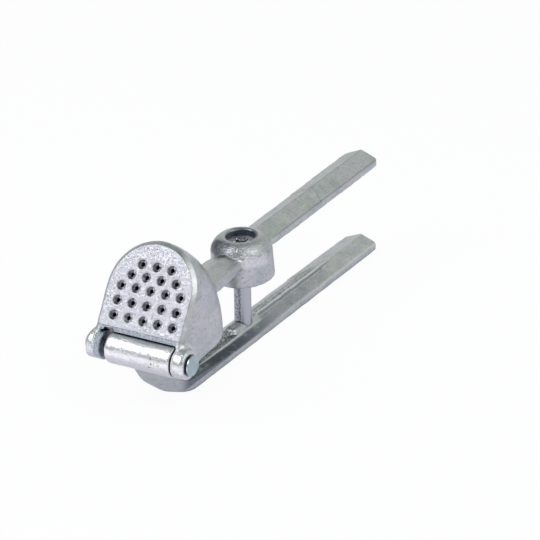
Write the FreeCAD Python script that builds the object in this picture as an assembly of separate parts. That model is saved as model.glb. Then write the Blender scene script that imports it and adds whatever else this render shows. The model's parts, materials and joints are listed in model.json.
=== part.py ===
"""A cast garlic press with an olive and cherry pitter: two levers on one riveted pin.

Millimetres. X runs along the hinge pin, Y from the pin to the handle ends, Z up. The origin is on the
resting face, straight below the pitting post. The levers are modelled about the pin axis and then placed.
"""
import FreeCAD, Part
import math
import os

Vector = FreeCAD.Vector
ACROSS = Vector(1, 0, 0)
UP = Vector(0, 0, 1)
PIN_AXIS = Vector(0, 0, 0)
HALF_TURN = 180.0
FULL_TURN = 360.0
QUARTER_TURN = 90.0

# Where things stand, from the pin axis
PIN_TO_POST = 69.6
PIN_TO_END = 169.6
ARM_DROP = 22.35            # down to the lower arm's lower side edges
UNDER_RIDGE = 1.4           # both arms are keel-shaped below, by this much
REST_HALF_WIDTH = 3.13      # the lower arm's keel is ground flat this wide a side
BIG = 400.0                 # reach of a cutting block, beyond any size of the part
NEAR = 0.02                 # two places closer than this are the same one

# Hinge
PIN_RADIUS = 2.0
PIN_FIT = 0.02              # pin in the ears, pressed
PIN_RUNNING = 0.06          # pin in the barrel, free to turn
PIN_HEAD_RADIUS = 3.75
PIN_HEAD_THICKNESS = 0.5
PIN_COLLAR_RADIUS = 2.9
PIN_COLLAR_THICKNESS = 0.7
PIN_PEEN_RADIUS = 3.3
PIN_PEEN_THICKNESS = 1.2
EAR_RADIUS = 5.4
EAR_STAND_RIGHT = 2.6       # ear boss beyond the hopper's side
EAR_STAND_LEFT = 1.3
EAR_INWARD = 2.25           # the left ear also stands into the hopper by this much
EAR_ROUND = 0.8
BARREL_RADIUS = 5.85
BARREL_GAP_LEFT = 4.2       # from the hopper's inner side
BARREL_GAP_RIGHT = 0.3
BARREL_CLEARANCE = 0.4      # hopper above the barrel
BARREL_ROUND_LEFT = 1.5
BARREL_ROUND_RIGHT = 0.5

# Hopper: a D-shaped bowl turned about the pin
HOPPER_SHIFT = -0.8         # its middle stands this far to the left of the arms'
HOPPER_HALF_WIDTH = 18.0
HOPPER_ARCH_HEIGHT = 21.2   # from the pin to the centre of the arch
HOPPER_WALL = 2.4
HOPPER_FRONT_SWEEP = 60.0   # degrees ahead of the plate
HOPPER_BACK_SWEEP = 98.0    # degrees behind the plate
HOPPER_MOUTH_DROP = 4.3     # open edge below the pin
HOPPER_MOUTH_RISE = 5.0     # degrees, towards the handles

# Perforated plate
PLATE_LEAN = 32.0           # degrees back from upright
PLATE_FACE = 4.23           # ahead of the pin axis
PLATE_THICKNESS = 3.2
PLATE_RIM_BEVEL = 1.45
LIP_HEIGHT = 6.3            # bottom edge of the flat face, above the pin
LIP_BEVEL = 14.0            # degrees
LIP_NOTCH_HEIGHT = 5.7
LIP_NOTCH_LEFT = 14.6
LIP_NOTCH_RIGHT = 10.6
HOLE_RADIUS = 0.7
HOLE_MOUTH_RADIUS = 1.7
HOLE_MOUTH_DEPTH = 0.45     # straight part of the mouth
HOLE_SEAT_DEPTH = 0.85      # where the mouth's shallow cone meets the hole
HOLE_PITCH = 6.0
HOLE_FIRST_ROW = 10.55
HOLES_SHIFT = -0.35         # middle of the rows, from the middle of the arms
HOLE_ROW_STEPS = [0.0, 5.33, 5.33, 4.27, 4.27]
HOLE_ROW_COUNTS = [5, 5, 5, 4, 3]

# Plunger that fills the hopper behind the plate
PLUNGER_PLATE_GAP = 0.4
PLUNGER_SIDE_GAP = 0.35
PLUNGER_THICKNESS = 3.6
PLUNGER_FOOT = 7.0          # its full width starts this far above the pin
PLUNGER_ROOT_HALF_WIDTH = 12.0
WEB_HALF_WIDTH = 2.2
WEB_TOP = 30.0
WEB_FOOT = 34.0             # where the web runs out on the arm

# Cup over the post
CUP_LEAN = 5.0              # degrees, its top towards the hopper
CUP_SET_BACK = 0.8          # middle of the exit hole, from the post towards the pin
CUP_TOP = 18.9
CUP_HEIGHT = 16.04
CUP_RIM_RADIUS = 12.1
CUP_SHOULDER_RADIUS = 11.6
CUP_SHOULDER_DROP = 6.7
CUP_BULGE = 0.19            # the dome's swell, a share of its chord
CUP_RING_RADIUS = 6.9
CUP_CAVITY_RADIUS = 9.4
CUP_CAVITY_RIM_RADIUS = 9.8
CUP_CAVITY_DROP = 8.3
CUP_HOLE_RADIUS = 5.48
CUP_HOLE_LENGTH = 3.2
CUP_HOLE_EDGE = 0.4

# Upper arm, in a frame turned up about the pin
UPPER_RISE = 2.34           # degrees
UPPER_RIDGE = 14.4
UPPER_SIDE = 11.3
UPPER_BOTTOM = 8.4
UPPER_CUP_HALF_WIDTH = 6.7
UPPER_ROOT_START = 30.0     # the flatter stretch from here, inside the hopper, to the cup
UPPER_ROOT_HALF_WIDTH = 6.4
UPPER_ROOT_BOTTOM = [5.2, 8.2]
UPPER_ROOT_SIDE = [10.8, 10.2]
UPPER_ROOT_RIDGE = 12.3
UPPER_FLARE = 2.5           # the arm widens into the hopper by this much a side
UPPER_FLARE_LENGTH = 5.0

# Lower arm
ARM_END_HALF_WIDTH = 7.5
ARM_ROOT_HALF_WIDTH = 7.3
ARM_END_ROUND = 1.6
LOWER_RIDGE = 5.65          # above the lower side edges
LOWER_SIDE = 2.8
NECK_SIDE = 4.1
NECK_BLEND_END = 50.0       # where the side has thinned from the neck's to the arm's
NECK_RADIUS = 20.0          # outside of the bend from the barrel to the arm
NECK_FRONT = 4.1            # behind the pin axis
LOWER_RECESS_DEPTH = 0.45   # of the facets beside the rib
UPPER_RECESS_DEPTH = 0.4
UPPER_RIDGE_DRESS = 0.06    # the ridge between the upper recesses stands this much lower
RIB_HALF_WIDTH = 1.0
RIB_FADE = 18.0             # the rib narrows to nothing over this length
LOWER_RECESS_END = 134.0
UPPER_RECESS_END = 126.0
LOWER_RECESS_SKEW = 17.0
UPPER_RECESS_SKEW = 6.0

# Pad and post
PAD_TOP = 6.8               # above the lower side edges
PAD_HALF_WIDTH = 3.1
PAD_FRONT = 11.0            # ahead of the post
PAD_BACK = 9.2
PAD_FLANGE = 0.35
PAD_ROUND = 2.4
POST_RADIUS = 3.25
POST_BELOW_HOLE = 2.4
POST_SPIGOT_RADIUS = 2.0
POST_SPIGOT_LENGTH = 3.0
POST_FIT = 0.02
CROWN_BORE_RADIUS = 2.0
CROWN_DEPTH = 1.6
CROWN_SLOTS = 3             # right across, so twice as many teeth
CROWN_SLOT_WIDTH = 1.3


def leaned(shape):
    """Turn a shape from the upright plate frame to the plate's lean."""
    shape.rotate(PIN_AXIS, ACROSS, -PLATE_LEAN)
    return shape


def risen(shape):
    """Turn a shape from the level arm frame to the upper arm's rise."""
    shape.rotate(PIN_AXIS, ACROSS, UPPER_RISE)
    return shape


def cup_place():
    """How far the middle of the exit hole is from the pin axis."""
    return PIN_TO_POST - CUP_SET_BACK


def rest_drop():
    """How far the resting face lies below the pin axis: the keel, less what is ground off it."""
    return ARM_DROP + UNDER_RIDGE * (1 - REST_HALF_WIDTH / ARM_ROOT_HALF_WIDTH)


def placed(shape):
    """Move a shape from the pin axis to the part's own frame."""
    shape.translate(Vector(0, -PIN_TO_POST, rest_drop()))
    return shape.removeSplitter()


def bar_along_x(radius, start, end):
    """A round bar on the pin axis between two places along it."""
    return Part.makeCylinder(radius, end - start, Vector(start, 0, 0), ACROSS)


def side_plate(points, half_width):
    """A flat plate from an outline of (y, z) points, both sides of the middle."""
    corners = [Vector(-half_width, y, z) for y, z in points]
    outline = Part.makePolygon(corners + corners[:1])
    return Part.Face(outline).extrude(Vector(2 * half_width, 0, 0))


def hopper_turn(inset, front_sweep, back_sweep):
    """The D-shaped outline, inset from the outside, turned about the pin."""
    half_width = HOPPER_HALF_WIDTH - inset
    low = PIN_RADIUS / 2
    crown = HOPPER_ARCH_HEIGHT + half_width
    left_foot = Vector(-half_width, 0, low)
    left_spring = Vector(-half_width, 0, HOPPER_ARCH_HEIGHT)
    right_spring = Vector(half_width, 0, HOPPER_ARCH_HEIGHT)
    right_foot = Vector(half_width, 0, low)
    outline = Part.Wire([
        Part.makeLine(left_foot, left_spring),
        Part.Arc(left_spring, Vector(0, 0, crown), right_spring).toShape(),
        Part.makeLine(right_spring, right_foot),
        Part.makeLine(right_foot, left_foot),
    ])
    face = Part.Face(outline)
    face.rotate(PIN_AXIS, ACROSS, front_sweep)
    body = face.revolve(PIN_AXIS, ACROSS, -(front_sweep + back_sweep))
    body.translate(ACROSS * HOPPER_SHIFT)
    return body


def hopper_sides(inset):
    """The two places along the pin of the hopper's sides, inset from the outside."""
    reach = HOPPER_HALF_WIDTH - inset
    return HOPPER_SHIFT - reach, HOPPER_SHIFT + reach


def behind_plate_plane(depth):
    """A block that holds everything behind a plane parallel to the plate's face."""
    return Part.makeBox(2 * BIG, BIG, 2 * BIG, Vector(-BIG, depth - PLATE_FACE, -BIG))


def above_mouth():
    """A block that holds everything above the hopper's open edge."""
    block = Part.makeBox(2 * BIG, 2 * BIG, BIG, Vector(-BIG, -BIG, 0))
    block.rotate(PIN_AXIS, ACROSS, HOPPER_MOUTH_RISE)
    block.translate(Vector(0, 0, -HOPPER_MOUTH_DROP))
    return block


def hopper_outside():
    """The hopper as a solid, its plate's rim bevelled."""
    body = hopper_turn(0, HOPPER_FRONT_SWEEP, HOPPER_BACK_SWEEP).common(behind_plate_plane(0))
    rim = [edge for edge in body.Edges if on_plate_rim(edge)]
    return leaned(body.makeChamfer(PLATE_RIM_BEVEL, rim)).common(above_mouth())


def on_plate_rim(edge):
    """Whether an edge lies in the plate's face and isn't its straight foot."""
    return edge.BoundBox.YMax < NEAR - PLATE_FACE and edge.BoundBox.ZLength > PLATE_RIM_BEVEL


def hopper_space():
    """The space behind the plate that the plunger works in."""
    space = hopper_turn(HOPPER_WALL, HOPPER_FRONT_SWEEP, HOPPER_BACK_SWEEP + PLATE_LEAN)
    space = space.common(behind_plate_plane(PLATE_THICKNESS))
    left, right = hopper_sides(HOPPER_WALL)
    barrel_room = bar_along_x(BARREL_RADIUS + BARREL_CLEARANCE, left, right)
    return leaned(space.fuse(barrel_room))


def plate_holes():
    """The rows of holes through the plate, each with a wide, shallow mouth."""
    holes = []
    height = HOLE_FIRST_ROW
    inward = Vector(0, 1, 0)
    cone_length = HOLE_SEAT_DEPTH - HOLE_MOUTH_DEPTH
    for step, count in zip(HOLE_ROW_STEPS, HOLE_ROW_COUNTS):
        height += step
        for place in range(count):
            x = HOLES_SHIFT + (place - (count - 1) / 2) * HOLE_PITCH
            mouth = Vector(x, -PLATE_FACE, height)
            cone_top = mouth + inward * HOLE_MOUTH_DEPTH
            holes.append(Part.makeCylinder(HOLE_RADIUS, 2 * PLATE_THICKNESS, mouth, inward))
            holes.append(Part.makeCylinder(HOLE_MOUTH_RADIUS, HOLE_MOUTH_DEPTH, mouth, inward))
            holes.append(Part.makeCone(HOLE_MOUTH_RADIUS, HOLE_RADIUS, cone_length, cone_top, inward))
    return leaned(holes[0].multiFuse(holes[1:]))


def lip_cut():
    """What the bevel under the plate's face and the notch beside it take away."""
    block = Part.makeBox(2 * BIG, BIG, BIG, Vector(-BIG, -BIG, -BIG))
    block.rotate(PIN_AXIS, ACROSS, -LIP_BEVEL)
    block.translate(Vector(0, -PLATE_FACE, LIP_HEIGHT))
    left, right = hopper_sides(HOPPER_WALL)
    bevel = block.common(Part.makeBox(right - left, BIG, BIG, Vector(left, -BIG, 0)))
    notch_width = LIP_NOTCH_LEFT - LIP_NOTCH_RIGHT
    notch = Part.makeBox(notch_width, PLATE_THICKNESS, LIP_NOTCH_HEIGHT,
                         Vector(-LIP_NOTCH_LEFT, -PLATE_FACE, 0))
    return leaned(bevel.fuse(notch))


def ear(start, end, outer):
    """A boss on the pin axis, with its outer rim rounded."""
    boss = bar_along_x(EAR_RADIUS, start, end)
    rim = [edge for edge in boss.Edges if abs(edge.BoundBox.XMin - outer) + edge.BoundBox.XLength < NEAR]
    return boss.makeFillet(EAR_ROUND, rim)


def ears():
    """The two ears. The left one also stands into the hopper, towards the barrel."""
    left_inner, right_inner = hopper_sides(HOPPER_WALL)
    left_end, right_end = pin_reach()
    left_ear = ear(left_end, left_inner + EAR_INWARD, left_end)
    return left_ear, ear(right_inner, right_end, right_end)


def gable_section(along, half_width, bottom, side, ridge):
    """One cross-section of an arm: a shallow keel below, two facets above that meet at a ridge."""
    points = [
        Vector(-half_width, along, bottom),
        Vector(0, along, bottom - UNDER_RIDGE),
        Vector(half_width, along, bottom),
        Vector(half_width, along, side),
        Vector(0, along, ridge),
        Vector(-half_width, along, side),
    ]
    return Part.makePolygon(points + points[:1])


def gable_bar(start, end, root_half_width, bottom, side, ridge):
    """An arm that widens towards its rounded end."""
    root = gable_section(start, root_half_width, bottom, side, ridge)
    tip = gable_section(end, ARM_END_HALF_WIDTH, bottom, side, ridge)
    bar = Part.makeLoft([root, tip], True, True)
    corners = [edge for edge in bar.Edges if upright_at(edge, end)]
    return bar.makeFillet(ARM_END_ROUND, corners)


def upright_at(edge, along):
    """Whether an edge stands upright at a place along the arm."""
    box = edge.BoundBox
    return abs(box.YMin - along) < NEAR and abs(box.YMax - along) < NEAR and box.XLength < NEAR


def recess(start, end, skew, core):
    """What is cut from the two facets down to a lower core, with a slanting step at the end."""
    wide = 2 * ARM_END_HALF_WIDTH
    outline = Part.makePolygon([
        Vector(0, start, 0),
        Vector(wide, start, 0),
        Vector(wide, end - skew * wide / ARM_END_HALF_WIDTH, 0),
        Vector(0, end, 0),
        Vector(-wide, end - skew * wide / ARM_END_HALF_WIDTH, 0),
        Vector(-wide, start, 0),
        Vector(0, start, 0),
    ])
    column = Part.Face(outline).extrude(Vector(0, 0, 2 * BIG))
    column.translate(Vector(0, 0, -BIG))
    return column.cut(core)


def cup_frame(shape):
    """Place a shape made about the exit hole's middle."""
    shape.rotate(PIN_AXIS, ACROSS, CUP_LEAN)
    shape.translate(Vector(0, cup_place(), CUP_TOP))
    return shape


def turned_about_z(edges):
    """A solid of revolution about Z from a closed half outline."""
    return Part.Face(Part.Wire(edges)).revolve(PIN_AXIS, UP, FULL_TURN)


def quarter_curve(start, end, bulge):
    """An arc between two (radius, height) points that swells outwards by a share of its chord."""
    middle = (start + end) / 2
    chord = end - start
    outward = Vector(-chord.z, 0, chord.x) * bulge
    return Part.Arc(start, middle + outward, end).toShape()


def cup_outside():
    """The domed cup as a solid."""
    centre_top = Vector(0, 0, 0)
    ring = Vector(CUP_RING_RADIUS, 0, 0)
    shoulder = Vector(CUP_SHOULDER_RADIUS, 0, -CUP_SHOULDER_DROP)
    rim = Vector(CUP_RIM_RADIUS, 0, -CUP_HEIGHT)
    centre_rim = Vector(0, 0, -CUP_HEIGHT)
    body = turned_about_z([
        Part.makeLine(centre_top, ring),
        quarter_curve(ring, shoulder, CUP_BULGE),
        Part.makeLine(shoulder, rim),
        Part.makeLine(rim, centre_rim),
        Part.makeLine(centre_rim, centre_top),
    ])
    return cup_frame(body)


def cup_space():
    """The cavity under the dome and the exit hole above it."""
    neck = Vector(CUP_HOLE_RADIUS, 0, -CUP_HOLE_LENGTH)
    dome = Vector(CUP_CAVITY_RADIUS, 0, -CUP_CAVITY_DROP)
    rim = Vector(CUP_CAVITY_RIM_RADIUS, 0, -CUP_HEIGHT)
    below = Vector(CUP_CAVITY_RIM_RADIUS, 0, -2 * CUP_HEIGHT)
    bottom = Vector(0, 0, -2 * CUP_HEIGHT)
    above = Vector(0, 0, CUP_HEIGHT)
    hole_top = Vector(CUP_HOLE_RADIUS, 0, CUP_HEIGHT)
    hollow = turned_about_z([
        Part.makeLine(above, hole_top),
        Part.makeLine(hole_top, neck),
        quarter_curve(neck, dome, CUP_BULGE),
        Part.makeLine(dome, rim),
        Part.makeLine(rim, below),
        Part.makeLine(below, bottom),
        Part.makeLine(bottom, above),
    ])
    wide = CUP_HOLE_RADIUS + CUP_HOLE_EDGE
    edge = Part.makeCone(CUP_HOLE_RADIUS, wide, CUP_HOLE_EDGE, Vector(0, 0, -CUP_HOLE_EDGE), UP)
    return cup_frame(hollow.fuse(edge))


def upper_arm():
    """The arm from the hopper through the cup to the handle's end."""
    start = cup_place()
    bar = gable_bar(start, PIN_TO_END, UPPER_CUP_HALF_WIDTH, UPPER_BOTTOM, UPPER_SIDE, UPPER_RIDGE)
    core = gable_bar(0, PIN_TO_END, ARM_END_HALF_WIDTH, UPPER_BOTTOM, UPPER_SIDE - UPPER_RECESS_DEPTH,
                     UPPER_RIDGE - UPPER_RIDGE_DRESS)
    bar = bar.cut(recess(start, UPPER_RECESS_END, UPPER_RECESS_SKEW, core))
    return risen(bar.fuse(upper_root()).fuse(upper_flare()))


def upper_root():
    """The flatter stretch between hopper and cup."""
    ends = []
    for along, bottom, side in zip((UPPER_ROOT_START, cup_place()), UPPER_ROOT_BOTTOM, UPPER_ROOT_SIDE):
        ends.append(gable_section(along, UPPER_ROOT_HALF_WIDTH, bottom, side, UPPER_ROOT_RIDGE))
    return Part.makeLoft(ends, True, True)


def upper_flare():
    """What the sides of that stretch gain as they widen into the hopper."""
    hopper_back = HOPPER_ARCH_HEIGHT + HOPPER_HALF_WIDTH
    start = hopper_back - UPPER_FLARE
    end = hopper_back + UPPER_FLARE_LENGTH
    wide = UPPER_ROOT_HALF_WIDTH + UPPER_FLARE
    slim = UPPER_ROOT_HALF_WIDTH
    outline = Part.Wire([
        Part.makeLine(Vector(-wide, UPPER_ROOT_START, 0), Vector(wide, UPPER_ROOT_START, 0)),
        Part.makeLine(Vector(wide, UPPER_ROOT_START, 0), Vector(wide, start, 0)),
        flare_arc(wide, slim, start, end),
        Part.makeLine(Vector(slim, end, 0), Vector(-slim, end, 0)),
        flare_arc(-slim, -wide, end, start),
        Part.makeLine(Vector(-wide, start, 0), Vector(-wide, UPPER_ROOT_START, 0)),
    ])
    column = Part.Face(outline).extrude(Vector(0, 0, BIG))
    root_bottom, cup_bottom = UPPER_ROOT_BOTTOM
    root_side, cup_side = UPPER_ROOT_SIDE
    side_view = side_plate([
        (UPPER_ROOT_START, root_bottom),
        (cup_place(), cup_bottom),
        (cup_place(), cup_side),
        (UPPER_ROOT_START, root_side),
    ], BIG)
    return column.common(side_view)


def flare_arc(x_start, x_end, y_start, y_end):
    """A hollow curve that carries the arm's side out to the hopper."""
    slim = min(abs(x_start), abs(x_end))
    wide = max(abs(x_start), abs(x_end))
    hand = math.copysign(1, x_start + x_end)
    x_middle = hand * (slim + (wide - slim) * (1 - math.sqrt(0.5)))
    y_near = min(y_start, y_end)
    y_middle = y_near + abs(y_end - y_start) * (1 - math.sqrt(0.5))
    start = Vector(x_start, y_start, 0)
    end = Vector(x_end, y_end, 0)
    return Part.Arc(start, Vector(x_middle, y_middle, 0), end).toShape()


def upper_lever():
    """Hopper, plate, ears, arm, cup and handle, cast in one."""
    solid = hopper_outside()
    for piece in (upper_arm(), cup_outside()):
        solid = solid.fuse(piece)
    for cutter in (hopper_space(), cup_space(), plate_holes(), lip_cut()):
        solid = solid.cut(cutter)
    for boss in ears():
        solid = solid.fuse(boss)
    left_end, right_end = pin_reach()
    return placed(solid.cut(bar_along_x(PIN_RADIUS + PIN_FIT, left_end, right_end)))


def plunger():
    """The D-shaped slab that presses against the plate, with its root on the barrel."""
    inset = HOPPER_WALL + PLUNGER_SIDE_GAP
    front = PLATE_THICKNESS + PLUNGER_PLATE_GAP
    turn = hopper_turn(inset, HOPPER_FRONT_SWEEP, HOPPER_FRONT_SWEEP)
    slab = turn.common(behind_plate_plane(front)).cut(behind_plate_plane(front + PLUNGER_THICKNESS))
    slab = slab.cut(Part.makeBox(2 * BIG, 2 * BIG, BIG, Vector(-BIG, -BIG, PLUNGER_FOOT - BIG)))
    root = Part.makeBox(2 * PLUNGER_ROOT_HALF_WIDTH, PLUNGER_THICKNESS, PLUNGER_FOOT,
                        Vector(-PLUNGER_ROOT_HALF_WIDTH, front - PLATE_FACE, 0))
    return leaned(slab.fuse(root))


def neck():
    """The bend from the barrel down to the arm, the arm's own section turned a quarter."""
    centre_y = NECK_FRONT + NECK_RADIUS
    section = Part.Face(gable_section(centre_y, ARM_ROOT_HALF_WIDTH, -ARM_DROP, NECK_SIDE - ARM_DROP,
                                      LOWER_RIDGE - LOWER_RECESS_DEPTH - ARM_DROP))
    centre = Vector(0, centre_y, NECK_RADIUS - ARM_DROP)
    bend = section.revolve(centre, ACROSS, -QUARTER_TURN)
    section.rotate(centre, ACROSS, -QUARTER_TURN)
    return bend.fuse(section.extrude(Vector(0, 0, -centre.z)))


def web():
    """The rib that ties the plunger's back to the arm."""
    lean = math.radians(PLATE_LEAN)
    back = PLATE_THICKNESS + PLUNGER_PLATE_GAP + PLUNGER_THICKNESS / 2 - PLATE_FACE
    top = (back * math.cos(lean) + WEB_TOP * math.sin(lean), WEB_TOP * math.cos(lean) - back * math.sin(lean))
    foot_height = LOWER_RIDGE - LOWER_RECESS_DEPTH - ARM_DROP
    heel = NECK_FRONT + LOWER_RIDGE / 2
    bend_end = NECK_FRONT + NECK_RADIUS
    return side_plate([(0, 0), top, (WEB_FOOT, foot_height), (bend_end, foot_height), (heel, 0)],
                      WEB_HALF_WIDTH)


def seat_height():
    """How far the post's foot stands above the lower side edges, level with the pad's flange."""
    return LOWER_RIDGE - 2 * LOWER_RECESS_DEPTH


def pad_slab(edge, height):
    """A slab with round ends under the post, wider than the pad by its edge."""
    half_width = PAD_HALF_WIDTH + edge
    y_front = PIN_TO_POST - PAD_FRONT - edge
    y_back = PIN_TO_POST + PAD_BACK + edge
    near = y_front + half_width
    far = y_back - half_width
    outline = Part.Wire([
        Part.Arc(Vector(half_width, near, 0), Vector(0, y_front, 0), Vector(-half_width, near, 0)).toShape(),
        Part.makeLine(Vector(-half_width, near, 0), Vector(-half_width, far, 0)),
        Part.Arc(Vector(-half_width, far, 0), Vector(0, y_back, 0), Vector(half_width, far, 0)).toShape(),
        Part.makeLine(Vector(half_width, far, 0), Vector(half_width, near, 0)),
    ])
    return Part.Face(outline).extrude(Vector(0, 0, height))


def pad():
    """The loaf-shaped boss on the arm that holds the post's foot, with the thin flange around it."""
    body = pad_slab(0, PAD_TOP)
    top_edges = [edge for edge in body.Edges if edge.BoundBox.ZMin > PAD_TOP - NEAR]
    solid = body.makeFillet(PAD_ROUND, top_edges).fuse(pad_slab(PAD_FLANGE, seat_height()))
    solid.translate(Vector(0, 0, -ARM_DROP))
    return solid


def barrel():
    """The hinge barrel between the ears."""
    left, right = hopper_sides(HOPPER_WALL)
    drum = bar_along_x(BARREL_RADIUS, left + BARREL_GAP_LEFT, right - BARREL_GAP_RIGHT)
    left_rim = [edge for edge in drum.Edges if edge.BoundBox.XMax < 0]
    drum = drum.makeFillet(BARREL_ROUND_LEFT, left_rim)
    right_rim = [edge for edge in drum.Edges if edge.BoundBox.XMin > 0]
    return drum.makeFillet(BARREL_ROUND_RIGHT, right_rim)


def lower_arm():
    """The arm from the bend to the handle's end."""
    side = LOWER_SIDE - ARM_DROP
    ridge = LOWER_RIDGE - ARM_DROP
    start = NECK_FRONT + NECK_RADIUS
    low_side = side - LOWER_RECESS_DEPTH / 2
    low_ridge = ridge - LOWER_RECESS_DEPTH
    root = gable_section(start, ARM_ROOT_HALF_WIDTH, -ARM_DROP, NECK_SIDE - ARM_DROP, low_ridge)
    thinned = gable_section(NECK_BLEND_END, ARM_ROOT_HALF_WIDTH, -ARM_DROP, low_side, low_ridge)
    blend = Part.makeLoft([root, thinned], True, True)
    bar = gable_bar(NECK_BLEND_END, PIN_TO_END, ARM_ROOT_HALF_WIDTH, -ARM_DROP, side, ridge)
    core = gable_bar(0, PIN_TO_END, ARM_END_HALF_WIDTH, -ARM_DROP, low_side, low_ridge)
    cutter = recess(NECK_BLEND_END, LOWER_RECESS_END, LOWER_RECESS_SKEW, core)
    return blend.fuse(bar.cut(cutter)).fuse(rib_step()).fuse(rib())


def rib_step():
    """The low step that the rib stands on before the pad, as wide and as high as the pad's flange."""
    half_width = PAD_HALF_WIDTH + PAD_FLANGE
    start = NECK_FRONT + NECK_RADIUS
    end = PIN_TO_POST - PAD_FRONT + PAD_HALF_WIDTH
    return Part.makeBox(2 * half_width, end - start, seat_height(), Vector(-half_width, start, -ARM_DROP))


def rib():
    """The flat-topped rib along the lower arm, which narrows to a point on the handle."""
    start = NECK_FRONT + NECK_RADIUS
    outline = Part.makePolygon([
        Vector(-RIB_HALF_WIDTH, start, -ARM_DROP),
        Vector(RIB_HALF_WIDTH, start, -ARM_DROP),
        Vector(RIB_HALF_WIDTH, LOWER_RECESS_END, -ARM_DROP),
        Vector(0, LOWER_RECESS_END + RIB_FADE, -ARM_DROP),
        Vector(-RIB_HALF_WIDTH, LOWER_RECESS_END, -ARM_DROP),
        Vector(-RIB_HALF_WIDTH, start, -ARM_DROP),
    ])
    return Part.Face(outline).extrude(Vector(0, 0, LOWER_RIDGE))


def ground():
    """What the flat resting face takes off the keel."""
    return Part.makeBox(2 * BIG, 2 * BIG, BIG, Vector(-BIG, -BIG, -rest_drop() - BIG))


def lower_lever():
    """Barrel, plunger, web, neck, arm, pad and handle, cast in one."""
    solid = barrel()
    for piece in (plunger(), neck(), web(), lower_arm(), pad()):
        solid = solid.fuse(piece)
    left, right = hopper_sides(0)
    solid = solid.cut(bar_along_x(PIN_RADIUS + PIN_RUNNING, left, right))
    seat = Vector(0, PIN_TO_POST, seat_height() - ARM_DROP)
    socket = Part.makeCylinder(POST_RADIUS + POST_FIT, PAD_TOP, seat)
    depth = POST_SPIGOT_LENGTH + POST_FIT
    spigot_hole = Part.makeCylinder(POST_SPIGOT_RADIUS + POST_FIT, depth, seat - UP * depth)
    return placed(solid.cut(socket).cut(spigot_hole).cut(ground()))


def pin_reach():
    """The two places along the pin where the ears end."""
    left, right = hopper_sides(0)
    return left - EAR_STAND_LEFT, right + EAR_STAND_RIGHT


def hinge_pin():
    """The riveted pin: a head on a small collar at one end, peened over at the other."""
    left_end, right_end = pin_reach()
    collar_end = right_end + PIN_COLLAR_THICKNESS
    shaft = bar_along_x(PIN_RADIUS, left_end, collar_end)
    collar = bar_along_x(PIN_COLLAR_RADIUS, right_end, collar_end)
    head = bar_along_x(PIN_HEAD_RADIUS, collar_end, collar_end + PIN_HEAD_THICKNESS)
    peen = bar_along_x(PIN_PEEN_RADIUS, left_end - PIN_PEEN_THICKNESS, left_end)
    outer_rim = [edge for edge in peen.Edges if edge.BoundBox.XMax < left_end - NEAR]
    peen = peen.makeFillet(PIN_PEEN_THICKNESS / 2, outer_rim)
    return placed(shaft.fuse(collar).fuse(head).fuse(peen))


def pitting_post():
    """The round post with its hollow, toothed crown and the spigot below its foot."""
    length = CUP_TOP - POST_BELOW_HOLE + ARM_DROP - seat_height()
    post = Part.makeCylinder(POST_RADIUS, length)
    spigot = Part.makeCylinder(POST_SPIGOT_RADIUS, POST_SPIGOT_LENGTH, Vector(0, 0, -POST_SPIGOT_LENGTH))
    post = post.fuse(spigot)
    crown_foot = length - CROWN_DEPTH
    post = post.cut(Part.makeCone(0, CROWN_BORE_RADIUS, CROWN_DEPTH, Vector(0, 0, crown_foot), UP))
    for number in range(CROWN_SLOTS):
        slot = Part.makeBox(2 * POST_RADIUS, CROWN_SLOT_WIDTH, CROWN_DEPTH,
                            Vector(-POST_RADIUS, -CROWN_SLOT_WIDTH / 2, crown_foot))
        slot.rotate(PIN_AXIS, UP, number * HALF_TURN / CROWN_SLOTS)
        post = post.cut(slot)
    post.translate(Vector(0, PIN_TO_POST, seat_height() - ARM_DROP))
    return placed(post)


os.makedirs("parts", exist_ok=True)
NODES = {
    "upper_lever": upper_lever,
    "lower_lever": lower_lever,
    "hinge_pin": hinge_pin,
    "pitting_post": pitting_post,
}
for node, make in NODES.items():
    shape = make()
    shape.exportStep("parts/" + node + ".step")
    box = shape.optimalBoundingBox(False)
    print(node, "solids", len(shape.Solids), "volume %.0f" % shape.Volume, "valid", shape.isValid(), box)
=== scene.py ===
# %% [markdown]
# # A cast garlic press with an olive and cherry pitter
# Two aluminium castings turn on one steel rivet. The lower casting holds the hinge barrel, the
# neck, the lower handle and a pad with the pitting post. The upper one holds the hopper with its
# perforated plate, the arm, the domed cup over the post, and the upper handle.
#
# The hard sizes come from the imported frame. What is added here is what a foundry and a tumbling
# drum do to such a shape: soft inside corners, dulled edges, a slightly wavy skin, pits and grain.

import json
import math

import bpy
import numpy as np
from mathutils import Matrix, Vector


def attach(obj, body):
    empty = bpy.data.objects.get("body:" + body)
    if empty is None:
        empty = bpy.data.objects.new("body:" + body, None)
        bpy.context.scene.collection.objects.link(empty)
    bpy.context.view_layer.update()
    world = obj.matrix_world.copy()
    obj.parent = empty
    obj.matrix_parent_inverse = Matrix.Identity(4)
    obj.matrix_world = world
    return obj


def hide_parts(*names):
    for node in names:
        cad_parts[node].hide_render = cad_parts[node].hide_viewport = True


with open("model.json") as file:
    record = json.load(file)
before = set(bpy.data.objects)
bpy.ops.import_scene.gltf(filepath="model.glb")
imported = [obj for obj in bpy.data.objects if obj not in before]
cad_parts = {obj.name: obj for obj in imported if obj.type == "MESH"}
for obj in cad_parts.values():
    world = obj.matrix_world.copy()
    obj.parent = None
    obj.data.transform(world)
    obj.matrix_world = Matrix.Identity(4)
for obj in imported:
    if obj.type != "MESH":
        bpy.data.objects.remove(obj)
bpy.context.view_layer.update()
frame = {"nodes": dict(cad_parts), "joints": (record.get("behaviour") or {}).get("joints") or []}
MM = 0.001
PIN = Vector(frame["joints"][0]["pos_m"])


# %% [markdown]
# ## Selection
# Operators act on whatever is selected, and the frame comes in selected. So every step starts by
# picking exactly one object.

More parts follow.
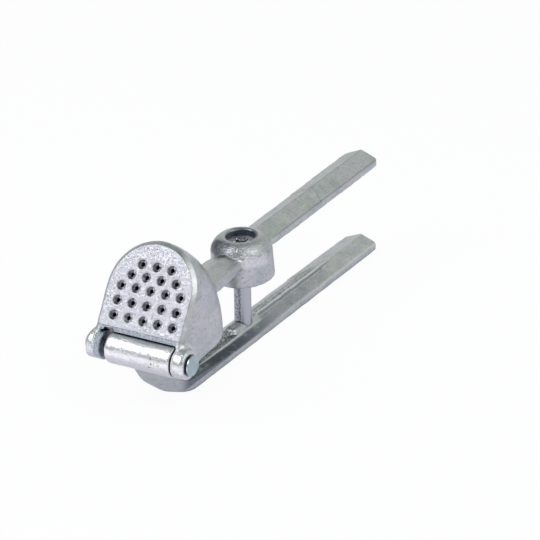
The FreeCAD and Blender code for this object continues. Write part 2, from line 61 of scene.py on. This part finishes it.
# %% Pick one object
def pick(piece):
    """Make one object the only one selected, and the active one."""
    bpy.ops.object.select_all(action="DESELECT")
    piece.select_set(True)
    bpy.context.view_layer.objects.active = piece


def apply_modifier(piece, kind, **settings):
    """Add a modifier, set it up and apply it."""
    pick(piece)
    modifier = piece.modifiers.new(kind.title(), kind)
    for key, value in settings.items():
        setattr(modifier, key, value)
    bpy.ops.object.modifier_apply(modifier=modifier.name)


# %% [markdown]
# ## Castings
# A die casting has no sharp inside corner: metal has to flow round it, and the mould is cut with a
# ball-nosed tool. Bevelling such corners one by one is slow where a dome meets a gabled arm. A
# voxel remesh turns the whole casting into one even skin of small squares, and then each inside
# corner is relaxed by as much as it needs. A little relaxing everywhere dulls the outer edges, as
# tumbling does. All places here are in millimetres from the middle of the hinge pin: x to the
# right, y back along the handles, z up.

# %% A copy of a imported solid, as one closed skin
MERGE = 0.001 * MM
SKIN = 0.3 * MM
MOST_TRIANGLES = 190000


def copy_of(node, name):
    """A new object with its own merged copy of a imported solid's mesh."""
    piece = bpy.data.objects.new(name, frame["nodes"][node].data.copy())
    bpy.context.scene.collection.objects.link(piece)
    piece.data.materials.clear()
    pick(piece)
    bpy.ops.object.mode_set(mode="EDIT")
    bpy.ops.mesh.select_all(action="SELECT")
    bpy.ops.mesh.remove_doubles(threshold=MERGE)
    bpy.ops.object.mode_set(mode="OBJECT")
    return piece


def cast_skin(node, name):
    """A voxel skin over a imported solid."""
    piece = copy_of(node, name)
    apply_modifier(piece, "REMESH", mode="VOXEL", voxel_size=SKIN)
    print(name, "skin of", len(piece.data.polygons), "squares")
    return piece


def thin_out(piece):
    """Fewer triangles where the skin is flat, then smooth shading."""
    triangles = 2 * len(piece.data.polygons)
    apply_modifier(piece, "DECIMATE", ratio=min(1.0, MOST_TRIANGLES / triangles))
    pick(piece)
    bpy.ops.object.shade_smooth()
    print(piece.name, "thinned to", len(piece.data.polygons), "faces")


# %% Where a corner is, and how to relax it
WEIGHT_STEPS = 8


def places(piece):
    """The x, y and z of the mesh's points in millimetres from the pin, and their distance from its axis."""
    flat = np.empty(len(piece.data.vertices) * 3)
    piece.data.vertices.foreach_get("co", flat)
    x, y, z = ((flat.reshape(-1, 3) - np.array(PIN)) / MM).T
    return x, y, z, np.hypot(y, z)


def near(value, middle, reach):
    """1 at the middle, falling smoothly to 0 at the reach either side."""
    t = np.clip(1 - np.abs(value - middle) / reach, 0, 1)
    return t * t * (3 - 2 * t)


def between(value, low, high, edge):
    """1 between low and high, falling to 0 over the edge outside them."""
    t = np.clip(np.minimum(value - low, high - value) / edge + 1, 0, 1)
    return t * t * (3 - 2 * t)


def relax(piece, name, share, rounds):
    """Smooth the skin where share is above 0, and by that share."""
    group = piece.vertex_groups.new(name=name)
    steps = np.round(np.clip(share, 0, 1) * WEIGHT_STEPS).astype(int)
    for step in range(1, WEIGHT_STEPS + 1):
        chosen = np.flatnonzero(steps == step)
        if len(chosen):
            group.add(chosen.tolist(), step / WEIGHT_STEPS, "REPLACE")
    apply_modifier(piece, "SMOOTH", factor=0.5, iterations=rounds, vertex_group=name)
    print(piece.name, name, "relaxed points:", int((steps > 0).sum()))


# %% What both castings get
GRIP_END = 166.5
PAST_ALL = 200
GRIP_CRISPNESS = 0.6
WAVE_HEIGHT, WAVE_GRAIN = 0.22 * MM, 7 * MM


def tumble(piece, y, grip_start):
    """Round the end of the handle, and dull all edges, those of the handle less."""
    relax(piece, "grip_end", between(y, GRIP_END, PAST_ALL, 3), 14)
    relax(piece, "all_over", 1 - GRIP_CRISPNESS * between(y, grip_start, PAST_ALL, 4), 3)


def waviness(piece, shift):
    """The slow unevenness of a hand-trimmed casting. The shift gives each casting its own waves."""
    clouds = bpy.data.textures.new(piece.name + "_waves", "CLOUDS")
    clouds.noise_scale = WAVE_GRAIN
    clouds.noise_depth = 1
    pick(piece)
    piece.location = shift
    bpy.ops.object.transform_apply(location=True, rotation=False, scale=False)
    apply_modifier(piece, "DISPLACE", texture=clouds, strength=WAVE_HEIGHT, mid_level=0.5,
                   texture_coords="LOCAL")
    piece.location = -Vector(shift)
    bpy.ops.object.transform_apply(location=True, rotation=False, scale=False)


# %% [markdown]
# ## Upper casting
# The hopper, its plate with 22 countersunk holes, two ears, the arm, the cup and the handle. The
# corners that a finger can feel are those between arm and hopper, arm and cup, and ear and hopper.
# Each ear is drawn out of the hopper's side in one slope, so its shoulder is relaxed the most.

# %% Upper casting
HOPPER_MIDDLE, HOPPER_HALF_WIDTH, HOPPER_ARCH = -0.8, 18.0, 21.2
HOPPER_BLEND = 1.4
CUP_FROM_PIN, CUP_RADIUS = 68.8, 12.4
EAR_BLEND = 6.4
UPPER_GRIP_START = 86

upper = cast_skin("upper_lever", "upper_casting")
x, y, z, from_axis = places(upper)
width = np.abs(x)
arch = np.sqrt(np.clip(HOPPER_HALF_WIDTH ** 2 - (x - HOPPER_MIDDLE) ** 2, 0, None))
at_cup = near(np.hypot(x, y - CUP_FROM_PIN), CUP_RADIUS, 3.4) * between(width, 0, 7.5, 3)
at_cup = at_cup * between(z, 5, 19, 2)
at_hopper = near(from_axis, HOPPER_ARCH + arch + HOPPER_BLEND, 5.2) * between(width, 0, 8.5, 3)
at_hopper = at_hopper * between(z, 3, 22, 2) * (y > 25)
ear_shoulders = near(from_axis, EAR_BLEND, 2.8) * between(width, 16.8, 20.2, 1.4) * (z > -1.5)

relax(upper, "arm_at_cup", at_cup, 60)
relax(upper, "arm_at_hopper", at_hopper, 110)
relax(upper, "ear_shoulders", ear_shoulders, 140)
tumble(upper, y, UPPER_GRIP_START)
waviness(upper, (0.0, 0.0, 0.013))
thin_out(upper)
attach(upper, "upper")
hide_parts("upper_lever")


# %% [markdown]
# ## Lower casting
# The barrel, the curved neck, the arm with its rib and the pad. The rib's foot and the pad's foot
# stay fairly crisp. The neck turns under the barrel in one round bend without an edge, so that
# bend gets the widest relaxing.

# %% Lower casting
NECK_BLEND = 6.6
LOWER_GRIP_START = 28

lower = cast_skin("lower_lever", "lower_casting")
x, y, z, from_axis = places(lower)
neck_at_barrel = near(from_axis, NECK_BLEND, 3.0) * (z < 1) * (y > -2)
pad = between(np.abs(x), 0, 4.5, 0.6) * between(y, 58.5, 79.5, 0.6) * (z > -18.5)
neck_bend = between(y, -9, 15, 8) * between(z, -40, -13, 4)

relax(lower, "neck_at_barrel", neck_at_barrel, 40)
relax(lower, "pad", pad, 4)
relax(lower, "neck_bend", neck_bend, 90)
tumble(lower, y, LOWER_GRIP_START)
waviness(lower, (0.0, 0.021, 0.0))
thin_out(lower)
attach(lower, "lower")
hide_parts("lower_lever")


# %% [markdown]
# ## Pitting post
# A round post with a hollow crown of teeth, pressed in the pad. The teeth are filed by hand, so
# they are softened like the castings.

# %% Pitting post
POST_SKIN = 0.16 * MM

post = copy_of("pitting_post", "toothed_post")
apply_modifier(post, "REMESH", mode="VOXEL", voxel_size=POST_SKIN)
relax(post, "all_over", np.ones(len(post.data.vertices)), 3)
pick(post)
bpy.ops.object.shade_smooth()
print("post of", len(post.data.polygons), "faces")
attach(post, "lower")
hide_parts("pitting_post")


# %% [markdown]
# ## Hinge pin
# A steel rivet with a thin flat head that stands off the ear on a small collar. It is turned
# steel, so it keeps crisp, small bevels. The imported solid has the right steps; a bevel on its
# sharp rims is all that it lacks.

# %% Hinge pin
PIN_BEVEL = 0.12 * MM
SHARP_RIM, SMOOTH_TURN = math.radians(50), math.radians(40)

pin = copy_of("hinge_pin", "rivet_pin")
apply_modifier(pin, "BEVEL", width=PIN_BEVEL, segments=3, limit_method="ANGLE", angle_limit=SHARP_RIM)
pick(pin)
bpy.ops.object.shade_smooth_by_angle(angle=SMOOTH_TURN)
print("pin of", len(pin.data.polygons), "faces")
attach(pin, "upper")
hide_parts("hinge_pin")


# %% [markdown]
# ## Shader sums
# A finish is easier to read as sums than as a drawing of nodes. A small class wraps a socket, and
# its operators add the Math nodes. All lengths in a finish are millimetres from the hinge pin.

# %% Sockets that can be added and multiplied
class Wire:
    """One output in a node tree."""

    def __init__(self, nodes, socket):
        self.nodes = nodes
        self.socket = socket

    def sum(self, operation, *values):
        return self.nodes.add("ShaderNodeMath", {"operation": operation}, dict(enumerate(values)))

    def __add__(self, other):
        return self.sum("ADD", self, other)

    __radd__ = __add__

    def __mul__(self, other):
        return self.sum("MULTIPLY", self, other)

    __rmul__ = __mul__

    def __sub__(self, other):
        return self.sum("SUBTRACT", self, other)

    def __rsub__(self, other):
        return self.sum("SUBTRACT", other, self)

    def __pow__(self, other):
        return self.sum("POWER", self, other)

    def most(self, *others):
        """The largest of this and the others."""
        largest = self
        for other in others:
            largest = self.sum("MAXIMUM", largest, other)
        return largest

    def size(self):
        return self.sum("ABSOLUTE", self)


# %% A node tree
MIX_FIRST, MIX_SECOND, MIX_RESULT = 6, 7, 2


def colour_of(value):
    """A colour as a node input takes it: a wire as it is, three numbers with full opacity."""
    return value if isinstance(value, Wire) else (*value, 1.0)


class Nodes:
    """The node tree of a material or of the world. add() adds a node and gives the wire from it."""

    def __init__(self, owner):
        owner.use_nodes = True
        self.owner = owner
        self.tree = owner.node_tree
        self.tree.nodes.clear()

    def add(self, kind, settings, values, output=0):
        made = self.tree.nodes.new(kind)
        for key, value in settings.items():
            setattr(made, key, value)
        for key, value in values.items():
            if isinstance(value, Wire):
                self.tree.links.new(value.socket, made.inputs[key])
            else:
                made.inputs[key].default_value = value
        return Wire(self, made.outputs[output])

    def place(self):
        """Where a point is, in millimetres from the pin."""
        point = self.add("ShaderNodeTexCoord", {}, {}, "Object")
        return self.add("ShaderNodeMapping", {}, {
            "Vector": point, "Location": -PIN / MM, "Scale": (1 / MM, 1 / MM, 1 / MM)})

    def axes(self, place):
        return [self.add("ShaderNodeSeparateXYZ", {}, {0: place}, axis) for axis in "XYZ"]

    def stretched(self, place, scale):
        return self.add("ShaderNodeMapping", {}, {"Vector": place, "Scale": scale})

    def noise(self, place, size, detail=2.0):
        """Soft noise from 0 to 1, its lumps about size across."""
        return self.add("ShaderNodeTexNoise", {"noise_dimensions": "3D"},
                        {"Vector": place, "Scale": 1 / size, "Detail": detail, "Roughness": 0.55})

    def specks(self, place, size):
        """Distance to the nearest of scattered points, in their own spacing."""
        return self.add("ShaderNodeTexVoronoi", {"feature": "F1"},
                        {"Vector": place, "Scale": 1 / size, "Randomness": 1.0}, "Distance")

    def scratches(self, place, size, width):
        """Thin straight lines that meet, like handling marks; 1 on a line."""
        edge = self.add("ShaderNodeTexVoronoi", {"feature": "DISTANCE_TO_EDGE"},
                        {"Vector": place, "Scale": 1 / size, "Randomness": 1.0})
        return self.step(edge, width / size, 0.0)

    def facing_right(self):
        """How far the surface faces the press's right side, from -1 to 1."""
        return self.axes(self.add("ShaderNodeTexCoord", {}, {}, "Normal"))[0]

    def open_air(self, reach):
        """1 on open surfaces, towards 0 in corners and holes narrower than reach."""
        return self.add("ShaderNodeAmbientOcclusion", {"samples": 8}, {"Distance": reach * MM}, "AO")

    def step(self, value, low, high):
        """A smooth step from 0 to 1 as the value goes from low to high."""
        return self.add("ShaderNodeMapRange", {"interpolation_type": "SMOOTHSTEP"},
                        {"Value": value, "From Min": low, "From Max": high})

    def line(self, value, middle, outside, inside):
        """1 where the value is within inside of the middle, falling to 0 at outside from it."""
        return self.step((value - middle).size(), outside, inside)

    def region(self, *steps):
        """1 where every step is taken. Each is a value, where it still gives 0 and where it gives 1."""
        share = self.step(*steps[0])
        for step in steps[1:]:
            share = share * self.step(*step)
        return share

    def blend(self, share, first, second):
        """A mix of two colours."""
        colours = {MIX_FIRST: colour_of(first), MIX_SECOND: colour_of(second)}
        return self.add("ShaderNodeMix", {"data_type": "RGBA"}, {"Factor": share} | colours, MIX_RESULT)

    def bump(self, height):
        return self.add("ShaderNodeBump", {}, {"Height": height, "Distance": MM, "Strength": 1.0})

    def metal(self, colour, roughness, height):
        return self.add("ShaderNodeBsdfPrincipled", {}, {
            "Base Color": colour, "Roughness": roughness, "Normal": self.bump(height), "Metallic": 1.0})

    def finish(self, surface, output="ShaderNodeOutputMaterial"):
        end = self.tree.nodes.new(output)
        self.tree.links.new(surface.socket, end.inputs["Surface"])
        print(self.owner.name, "has", len(self.tree.nodes), "nodes")
        return self.owner


# %% [markdown]
# ## Tumbled cast aluminium
# The metal is bare. As cast it is a satin grey with greenish clouds and stretched smears, fine
# grain, a few dark pits and thin handling marks. The tumbling has worked it unevenly: the plate's
# face is dressed and pitted all over like orange peel, up to a smooth rim; the ears and the barrel
# have a burnish. Light and shade are painted on top: a painted glint on the cup's right shoulder,
# painted highlights on the plate's right rim and along the lower arm's edges, a painted shade patch
# on the cup towards the hopper, thin painted shade lines along long edges and creases, and painted
# shade in the corners and in the holes, where only the right walls, which face left, get a painted
# highlight. The lower arm's step and the strip left of its rib carry darker crumbs.

# %% Tumbled cast aluminium
AS_CAST = (0.505, 0.50, 0.515)
CLOUDED = (0.45, 0.475, 0.465)
WORN = (0.56, 0.56, 0.53)
STAINED = (0.33, 0.38, 0.39)
DRESSED = (0.58, 0.57, 0.60)
BURNISHED_AND_HIGHLIGHT = (0.68, 0.67, 0.68)
BLUISH = (0.42, 0.47, 0.52)
DULL_AND_SHADE = (0.24, 0.26, 0.27)
PAINTED_HIGHLIGHT = (0.92, 0.92, 0.93)
RUST = (0.22, 0.15, 0.07)
SHADE_AND_GREASE = (0.035, 0.045, 0.055)
SMEAR_STRETCH = (0.5, 0.28, 1.0)
TREATMENTS = ("dressed", "pitted", "burnished_and_highlight", "bluish_tint_and_shade", "coarse", "lines", "painted_shade_and_grime", "rusty", "painted_highlight")


def cast_aluminium(name, zones, corner_reach):
    """The castings' finish. zones gives the share, 0 to 1, of each local treatment."""
    f = Nodes(bpy.data.materials.new(name))
    place = f.place()
    zone = dict.fromkeys(TREATMENTS, 0.0) | zones(f, place)
    clouds = f.noise(place, 9, 3.0)
    smears = f.noise(f.stretched(place, SMEAR_STRETCH), 2.6, 4.0)
    blotches = f.noise(place, 3.2, 3.0)
    speckle = f.noise(place, 1.1, 3.0)
    grain = f.noise(place, 0.5, 2.0)
    worms = (f.noise(place, 1.0, 2.5) - 0.5).size()
    pits = f.step(f.specks(place, 1.5), 0.22, 0.08) * f.step(f.noise(place, 4), 0.52, 0.64)
    marks = f.scratches(place, 13, 0.22) * f.step(clouds, 0.42, 0.55)
    seams = f.step(worms, 0.05, 0.0) * (0.40 * zone["pitted"] + 0.55 * zone["coarse"])

    colour = f.blend(f.step(clouds, 0.40, 0.62), AS_CAST, CLOUDED)
    colour = f.blend(f.step(smears, 0.54, 0.66) * 0.6, colour, WORN)
    colour = f.blend(f.step(smears, 0.46, 0.34) * 0.5, colour, STAINED)
    colour = f.blend(f.step(speckle, 0.50, 0.66) * 0.38, colour, DULL_AND_SHADE)
    colour = f.blend(zone["dressed"], colour, DRESSED)
    # A burnish on the ears and the barrel; the rest of this zone is painted highlight: the cup's glint, the
    # plate's right rim and the lower arm's edges.
    colour = f.blend(zone["burnished_and_highlight"], colour, BURNISHED_AND_HIGHLIGHT)
    # A blue-grey tint on the plate's lip; on the cup's hole wall and the lower arm's right facet it is
    # painted shade.
    colour = f.blend(zone["bluish_tint_and_shade"], colour, BLUISH)
    colour = f.blend(seams, colour, DULL_AND_SHADE)
    # Pits and handling marks are the metal's own; the lines are painted shade along edges and creases.
    colour = f.blend(pits * 0.7 + marks * 0.16 + zone["lines"] * 0.9, colour, DULL_AND_SHADE)
    # Painted shade in the holes, on the cup, in its hole and on the lower arm's facet, with darker crumbs on
    # the lower arm's step and strip.
    colour = f.blend(zone["painted_shade_and_grime"] * f.step(blotches, 0.2, 0.45), colour, SHADE_AND_GREASE)
    colour = f.blend(zone["rusty"] * f.step(f.specks(place, 1.2), 0.42, 0.22), colour, RUST)
    # Painted shade in corners and holes, darker where less of the surroundings is open.
    colour = f.blend(f.step(f.open_air(corner_reach), 0.82, 0.25), colour, SHADE_AND_GREASE)
    # A painted highlight on the right walls of the plate's holes.
    colour = f.blend(zone["painted_highlight"], colour, PAINTED_HIGHLIGHT)
    roughness = 0.34 + 0.12 * (blotches - 0.5) + 0.2 * pits + 0.12 * zone["pitted"]
    height = (grain - 0.5) * 0.09 + worms * (0.46 * zone["pitted"] + 0.36 * zone["coarse"])
    height = height + (blotches - 0.5) * 0.12 + (clouds - 0.5) * 0.25 - 0.12 * pits - 0.03 * marks
    return f.finish(f.metal(colour, roughness, height))


# %% Treatments of the upper casting
PLATE_LEAN = math.radians(32)
PLATE_FACE = 4.23
LIP_CREASE = 6.4
EXIT_RADIUS = 5.9
HANDLE_RISE = math.radians(2.34)
HANDLE_EDGE_TOP, HANDLE_EDGE_FOOT = 11.25, 8.45


def upper_zones(f, place):
    """Where each treatment is on the hopper, the ears, the cup and the handle."""
    x, y, z = f.axes(place)

    # The plate: how far ahead of the pin, how far up it, and how far in from its outline.
    ahead = z * math.sin(PLATE_LEAN) - y * math.cos(PLATE_LEAN)
    height = y * math.sin(PLATE_LEAN) + z * math.cos(PLATE_LEAN)
    aside = x - HOPPER_MIDDLE
    over_arch = ((height * height + PLATE_FACE ** 2) ** 0.5 - HOPPER_ARCH).most(0.0)
    inset = HOPPER_HALF_WIDTH - (aside * aside + over_arch * over_arch) ** 0.5
    face = f.region((ahead, 3.85, 4.05), (inset, 1.3, 1.55))
    # In the plate's holes: painted shade, except on the right walls, which face left and get a painted
    # highlight.
    holes = f.region((ahead, 4.08, 3.92), (ahead, 0.6, 1.0), (inset, 1.7, 1.9), (height, 7.2, 7.6))
    right_walls = f.step(f.facing_right(), -0.12, -0.35)
    lip = f.region((height, 6.5, 6.25), (ahead, 1.5, 2.5), (inset, 2.0, 2.6))
    # A painted shade line along the lip's crease.
    crease = f.line(height, LIP_CREASE, 0.28, 0.0) * face
    # A painted highlight along the plate's right rim.
    right_rim = f.region((ahead, 2.4, 3.2), (inset, 1.5, 1.25), (aside, 6.0, 12.0), (height, 6.0, 9.0))
    ears = f.region(((y * y + z * z) ** 0.5, 7.4, 6.2), (x.size(), 14.0, 14.8))

    # The cup: how far from its middle, and how far from there to the hopper and to the right.
    back = y - CUP_FROM_PIN
    out = (x * x + back * back) ** 0.5
    to_hopper = x * -0.24 - back * 0.97
    to_right = x * 0.74 - back * 0.67
    dome = f.step(out, 12.9, 12.2)
    shoulder = f.region((out, 6.5, 9.0), (z, 9.5, 12.5), (out, 13.2, 12.4))
    # A painted shade patch on the cup's shoulder towards the hopper.
    painted_shade_patch = dome * f.region((to_hopper, 6.0, 7.6), (z, 18.6, 17.6), (z, 12.8, 14.2))
    painted_shade_patch = painted_shade_patch * (0.36 * f.step(x, 0.6, -0.6) + 0.34 * f.step(x, 5.5, 3.0))
    # A painted glint on the cup's right shoulder.
    glint = dome * f.region((to_right, 8.2, 10.2), (z, 9.0, 11.5), (z, 17.0, 15.0))
    # The wall of the cup's hole gets a bluish painted shade, and the far edge of its mouth a painted shade.
    exit_wall = f.region((out, 6.2, 5.8), (z, 8.0, 9.0))
    far_edge = f.line(out, EXIT_RADIUS, 0.9, 0.4) * f.region((z, 16.0, 17.0), (to_hopper, 0.0, -3.0))

    # The handle: how high over its slope.
    lift = z * math.cos(HANDLE_RISE) - y * math.sin(HANDLE_RISE)
    on_handle = f.step(y, 82.0, 86.0)
    # Painted shade lines along the handle's side edges and along its ridge.
    top_edge = f.line(lift, HANDLE_EDGE_TOP, 0.36, 0.1) * 0.6
    foot_edge = f.line(lift, HANDLE_EDGE_FOOT, 0.36, 0.1) * 0.5
    side_edges = (top_edge + foot_edge) * f.step(x.size(), 6.2, 6.7) * on_handle
    ridge = f.region((x.size(), 0.4, 0.1), (lift, 12.0, 12.6)) * on_handle * 0.45
    return {
        "dressed": face,
        "pitted": face,
        "burnished_and_highlight": (ears * 0.8).most(glint, right_rim * 0.65),
        "bluish_tint_and_shade": lip.most(exit_wall),
        "coarse": shoulder.most(ears * 0.5, lip),
        "lines": crease.most(side_edges, ridge),
        "painted_shade_and_grime": (holes * (1 - right_walls) * 0.8).most(painted_shade_patch, exit_wall * 0.4, far_edge * 0.6),
        "painted_highlight": holes * right_walls,
    }


# %% Treatments of the lower casting
RIB_EDGE, RIB_FOOT, RIB_RECESS = 0.65, 1.25, 1.95
STEP_EDGE = 3.45
SIDE_EDGE = -19.55


def lower_zones(f, place):
    """Where each treatment is on the barrel, on the step under the rib and along the arm."""
    x, y, z = f.axes(place)
    barrel = f.step((y * y + z * z) ** 0.5, 6.5, 5.95)
    brown_specks = barrel * f.region((x, 4.5, 6.5), (x, 11.5, 9.5), (z, 3.5, 2.0), (z, -2.5, -1.0))

    # Ahead of the pad: the rough step under the rib, with darker crumbs, and the facet on its right, which
    # gets a bluish painted shade.
    crumbs = f.step(f.noise(place, 0.9, 3.0), 0.44, 0.54)
    on_step = f.region((x.size(), 3.35, 3.15), (y, 24.0, 28.0), (y, 60.0, 57.0))
    on_step = on_step * f.region((z, -19.0, -18.2), (z, -14.5, -15.5))
    step_edge = f.line(x, STEP_EDGE, 0.25, 0.1) * f.region((z, -18.4, -17.8), (y, 82.0, 78.0))
    facet = f.region((x, 3.55, 3.85), (z, -20.3, -19.7), (y, 12.0, 20.0), (y, 96.0, 56.0))

    # Behind the pad: thin painted highlights and thin painted shade lines along the rib, and a rough strip
    # with darker crumbs on its left.
    along_rib = f.region((y, 76.0, 80.0), (y, 146.0, 126.0), (z, -19.6, -18.6))
    rib_edge = f.line(x, RIB_EDGE, 0.45, 0.25) * along_rib
    rib_foot = f.line(x, RIB_FOOT, 0.35, 0.15) * along_rib
    recess_edge = f.line(x, RIB_RECESS, 0.35, 0.15) * along_rib
    crest = f.region((x.size(), 0.45, 0.15), (y, 128.0, 140.0), (z, -19.0, -18.0))
    left = f.region((x, 0.3, 0.0), (x, -5.2, -4.2), (y, 20.0, 40.0), (y, 134.0, 118.0), (z, -20.6, -19.6))
    side_edge = f.line(z, SIDE_EDGE, 0.4, 0.15) * f.region((x.size(), 6.2, 6.7), (y, 30.0, 60.0))
    return {
        # The barrel's burnish, and painted highlights along the rib, the recess, the side, the step and the
        # crest.
        "burnished_and_highlight": barrel.most(rib_edge, recess_edge * 0.5, side_edge * 0.6, step_edge * 0.3, crest * 0.5),
        "bluish_tint_and_shade": facet,
        "coarse": (barrel * 0.5).most(on_step, left * 0.5),
        "lines": rib_foot,
        "painted_shade_and_grime": (facet * 0.68).most(on_step * crumbs * 0.7, left * crumbs * 0.65),
        "rusty": brown_specks,
    }


# %% Finish both castings
# How far the painted shade in the castings' corners and holes reaches.
HOLE_REACH, HOLLOW_REACH = 1.6, 5.0

upper.data.materials.append(cast_aluminium("tumbled_casting_upper", upper_zones, HOLE_REACH))
lower.data.materials.append(cast_aluminium("tumbled_casting_lower", lower_zones, HOLLOW_REACH))


# %% [markdown]
# ## Steel pin and post
# The pin is plated steel, a little greener and smoother than the castings. The post is the
# castings' metal. It was cast in a two-part mould: a fine seam runs down it, and the side towards
# the hopper is the rougher half, which is also painted darker as shade. Its crown is worn in crumbs,
# bright on dark. Both get painted shade in their corners.

# %% Steel pin and post
PLATED = (0.42, 0.51, 0.52)
PLATED_SMUDGED = tuple(part * 0.86 for part in PLATED)
POST_SMOOTH, POST_ROUGH_SHADED = (0.49, 0.49, 0.52), (0.20, 0.22, 0.24)
POST_FROM_PIN = 69.6
SEAM = math.radians(-72)


def turned_steel(name):
    """Plated steel with faint turning marks round the pin's axis."""
    f = Nodes(bpy.data.materials.new(name))
    place = f.place()
    x, y, z = f.axes(place)
    marks = f.noise(f.add("ShaderNodeCombineXYZ", {}, {"X": (y * y + z * z) ** 0.5}), 0.35)
    smudge = f.noise(place, 2.5, 3.0)
    colour = f.blend(f.step(smudge, 0.35, 0.7), PLATED, PLATED_SMUDGED)
    # Painted shade in the pin's corners, such as under its head.
    colour = f.blend(f.step(f.open_air(0.8), 0.7, 0.3), colour, SHADE_AND_GREASE)
    return f.finish(f.metal(colour, 0.27 + 0.12 * smudge, marks * 0.01 + smudge * 0.05))


def seamed_post(name):
    """The post's metal: smooth on one side of the seam, rough on the other, which is also painted darker as
    shade.
    """
    f = Nodes(bpy.data.materials.new(name))
    place = f.place()
    x, y, z = f.axes(place)
    past_seam = x * math.sin(SEAM) - (y - POST_FROM_PIN) * math.cos(SEAM)
    rough_half = f.step(past_seam, -0.1, 0.1)
    seam = f.step(past_seam.size(), 0.35, 0.0)
    crown = f.step(z, 8.0, 9.0)
    patches = f.noise(place, 1.1, 3.0)
    crumbs = f.noise(place, 0.7, 2.5)
    # The half towards the hopper is painted darker as shade, in crumbs.
    colour = f.blend(rough_half * f.step(crumbs, 0.62, 0.42), POST_SMOOTH, POST_ROUGH_SHADED)
    colour = f.blend(crown * f.step(crumbs, 0.44, 0.54), colour, BURNISHED_AND_HIGHLIGHT)
    colour = f.blend(crown * f.step(crumbs, 0.47, 0.41), colour, SHADE_AND_GREASE)
    # Painted shade in the post's corners and in its hollow crown.
    colour = f.blend(f.step(f.open_air(1.6), 0.75, 0.3), colour, SHADE_AND_GREASE)
    height = patches * 0.06 + crumbs * rough_half * 0.16 + seam * 0.07
    return f.finish(f.metal(colour, 0.30 + 0.15 * patches, height))


pin.data.materials.append(turned_steel("plated_pin"))
post.data.materials.append(seamed_post("post_metal"))


# %% [markdown]
# ## Floor, light and camera
# Bare metal shows what stands round it, so the room is most of the look: a white floor with a
# touch of violet, a pale greenish wall behind, and a dark room in front and above. One large soft
# lamp stands in front on the left, higher than where the leaning plate would mirror it: the plate
# catches it with its peel, as a shimmer. One on the right lights the bevels and shines on the cup,
# where a painted glint adds to it. In reflections the floor carries a painted pool of light in front
# of the press, where the first lamp falls. It is white to the camera, where it keeps a faint shadow.

# %% Floor
FLOOR_SIZE = 6
UNDER_THE_PRESS = -0.02 * MM
FLOOR_WHITE = (0.88, 0.88, 0.93)
FLOOR_MIRRORED, PAINTED_POOL_MIRRORED = (0.99, 0.98, 1.12), (2.3, 2.28, 2.42)
WHITE = (1, 1, 1)
POOL_STARTS, POOL_FULL = -0.085, -0.125
SHARE_SEEN_WHITE, SHARE_MIRRORED = 0.95, 0.55

bpy.ops.object.select_all(action="DESELECT")
bpy.ops.mesh.primitive_plane_add(size=FLOOR_SIZE, location=(0, 0, UNDER_THE_PRESS))
floor = bpy.context.object
floor.name = "floor"

f = Nodes(bpy.data.materials.new("white_floor"))
camera_ray = f.add("ShaderNodeLightPath", {}, {}, "Is Camera Ray")
glossy_ray = f.add("ShaderNodeLightPath", {}, {}, "Is Glossy Ray")
matt = f.add("ShaderNodeBsdfDiffuse", {}, {"Color": colour_of(FLOOR_WHITE)})
x, y, z = f.axes(f.add("ShaderNodeTexCoord", {}, {}, "Object"))
# A painted pool of light in what the floor shows in reflections, in front of the press.
mirrored = f.blend(f.step(y, POOL_STARTS, POOL_FULL), FLOOR_MIRRORED, PAINTED_POOL_MIRRORED)
glow = f.add("ShaderNodeEmission", {}, {"Color": f.blend(camera_ray, mirrored, WHITE), "Strength": 1.0})
share = (camera_ray * SHARE_SEEN_WHITE).most(glossy_ray * SHARE_MIRRORED)
floor.data.materials.append(f.finish(f.add("ShaderNodeMixShader", {}, {0: share, 1: matt, 2: glow})))

# %% Room light
FRONT_AND_ABOVE = (0.28, 0.33, 0.33)
WALL_BEHIND = (0.80, 0.84, 0.81)

world = bpy.data.worlds.new("studio")
bpy.context.scene.world = world
f = Nodes(world)
x, y, z = f.axes(f.add("ShaderNodeTexCoord", {}, {}, "Generated"))
wall = f.blend(f.step(y - 0.2 * z, -0.1, 0.75), FRONT_AND_ABOVE, WALL_BEHIND)
seen = f.blend(f.add("ShaderNodeLightPath", {}, {}, "Is Camera Ray"), wall, WHITE)
f.finish(f.add("ShaderNodeBackground", {}, {"Color": seen, "Strength": 1.0}), "ShaderNodeOutputWorld")

# %% Lamps
LAMPS_AIM_AT = Vector((0, -20 * MM, 30 * MM))
LAMP_DISTANCE = 1.2
COOL_WHITE = (0.97, 0.96, 1.02)


def soft_lamp(name, towards, size, power, tint):
    """A square soft lamp that looks at the press from a direction."""
    way = Vector(towards).normalized()
    bpy.ops.object.light_add(type="AREA", location=LAMPS_AIM_AT + way * LAMP_DISTANCE)
    lamp = bpy.context.object
    lamp.name = name
    lamp.data.size = size
    lamp.data.energy = power
    lamp.data.color = tint
    lamp.rotation_euler = way.to_track_quat("Z", "Y").to_euler()
    print(name, "at", [round(v, 2) for v in lamp.location])


soft_lamp("front_left_softbox", (-0.46, -0.54, 0.70), 0.8, 7.2, COOL_WHITE)
soft_lamp("right_softbox", (0.68, -0.12, 0.72), 1.0, 4.9, WHITE)

# %% Camera
LENS_MM, SENSOR_MM = 120, 36
NEAREST_SEEN = 0.01
CAMERA_AT = Vector((0.3129, -0.5329, 0.29495))
LOOKING = Vector((-0.4513, 0.7991, -0.3971)).normalized()
TOP_OF_VIEW = Vector((-0.1867, 0.3506, 0.9177))

bpy.ops.object.camera_add(location=CAMERA_AT)
camera = bpy.context.object
camera.name = "camera"
right = LOOKING.cross(TOP_OF_VIEW).normalized()
upward = right.cross(LOOKING)
camera.rotation_euler = Matrix((right, upward, -LOOKING)).transposed().to_euler()
camera.data.lens = LENS_MM
camera.data.sensor_width = SENSOR_MM
camera.data.clip_start = NEAREST_SEEN
bpy.context.scene.camera = camera
bpy.context.scene.view_settings.view_transform = "Standard"
print("camera at", [round(v, 3) for v in camera.location], "with a", LENS_MM, "mm lens")
